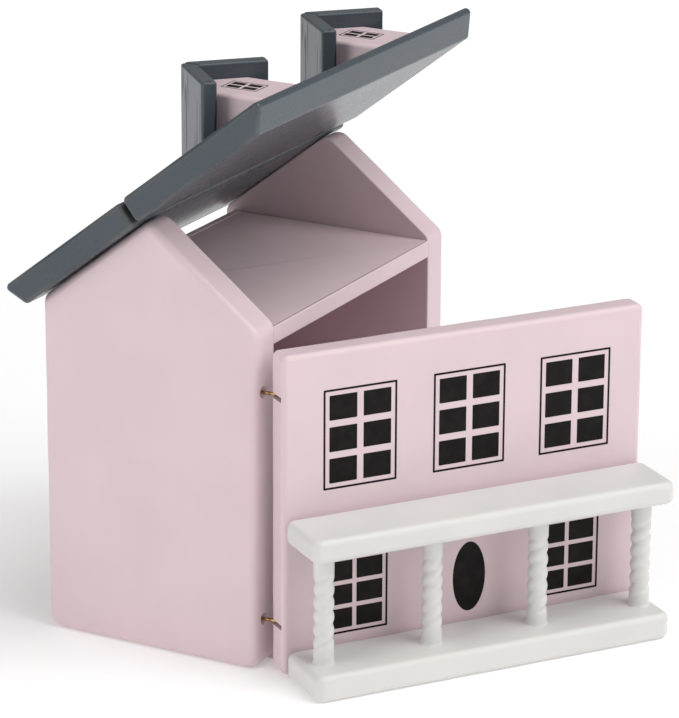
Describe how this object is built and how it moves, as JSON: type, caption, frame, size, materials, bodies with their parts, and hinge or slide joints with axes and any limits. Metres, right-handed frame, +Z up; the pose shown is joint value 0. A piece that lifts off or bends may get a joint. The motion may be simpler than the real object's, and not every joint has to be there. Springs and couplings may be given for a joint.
{
  "type": "wooden dollhouse",
  "caption": "Small painted wooden dollhouse with a hinged front wall carrying a porch, and a hinged front roof with dormers, both opening onto the rooms.",
  "frame": {"origin": "centre of the house's underside, with the porch and the opened front wall left out", "axes": "+X to the right seen from the front, +Y towards the back, +Z up"},
  "size_m": [0.1548, 0.197, 0.1939],
  "materials": {
    "pink_paint": "satin paint on wood",
    "grey_paint": "semi-gloss paint on wood",
    "white_paint": "satin paint on wood",
    "bare_wood": "bare wood",
    "brass": "dull"
  },
  "bodies": {
    "house": {"left_wall": "pink_paint", "right_wall": "pink_paint", "bottom_floor": "pink_paint", "middle_floor": "pink_paint", "attic_floor": "pink_paint", "back_panel": "pink_paint", "left_bottom_dowel_1": "bare_wood", "left_bottom_dowel_2": "bare_wood", "left_middle_dowel_1": "bare_wood", "left_middle_dowel_2": "bare_wood", "left_attic_dowel_1": "bare_wood", "left_attic_dowel_2": "bare_wood", "right_bottom_dowel_1": "bare_wood", "right_bottom_dowel_2": "bare_wood", "right_middle_dowel_1": "bare_wood", "right_middle_dowel_2": "bare_wood", "right_attic_dowel_1": "bare_wood", "right_attic_dowel_2": "bare_wood", "back_roof_board": "grey_paint", "left_roof_screw_eye": "brass", "right_roof_screw_eye": "brass", "upper_front_wall_screw_eye": "brass", "lower_front_wall_screw_eye": "brass"},
    "front_roof": {"front_roof_board": "grey_paint", "left_roof_pin": "brass", "right_roof_pin": "brass", "left_dormer_body": "pink_paint", "left_dormer_left_roof": "grey_paint", "left_dormer_right_roof": "grey_paint", "right_dormer_body": "pink_paint", "right_dormer_left_roof": "grey_paint", "right_dormer_right_roof": "grey_paint"},
    "front_wall": {"front_wall": "pink_paint", "upper_front_wall_pin": "brass", "lower_front_wall_pin": "brass", "porch_base": "white_paint", "porch_roof": "white_paint", "porch_base_dowel_1": "bare_wood", "porch_base_dowel_2": "bare_wood", "porch_roof_dowel_1": "bare_wood", "porch_roof_dowel_2": "bare_wood", "porch_column_1": "white_paint", "porch_column_2": "white_paint", "porch_column_3": "white_paint", "porch_column_4": "white_paint"}
  },
  "joints": [
    {"name": "front_roof_lift", "type": "hinge", "parent": "house", "child": "front_roof", "pos_m": [0, 0.0003, 0.1518], "axis": [-1, 0, 0], "range_deg": [-76, 12]},
    {"name": "front_wall_swing", "type": "hinge", "parent": "house", "child": "front_wall", "pos_m": [-0.061, -0.0478, 0], "axis": [0, 0, -1], "range_deg": [-36, 94]}
  ]
}
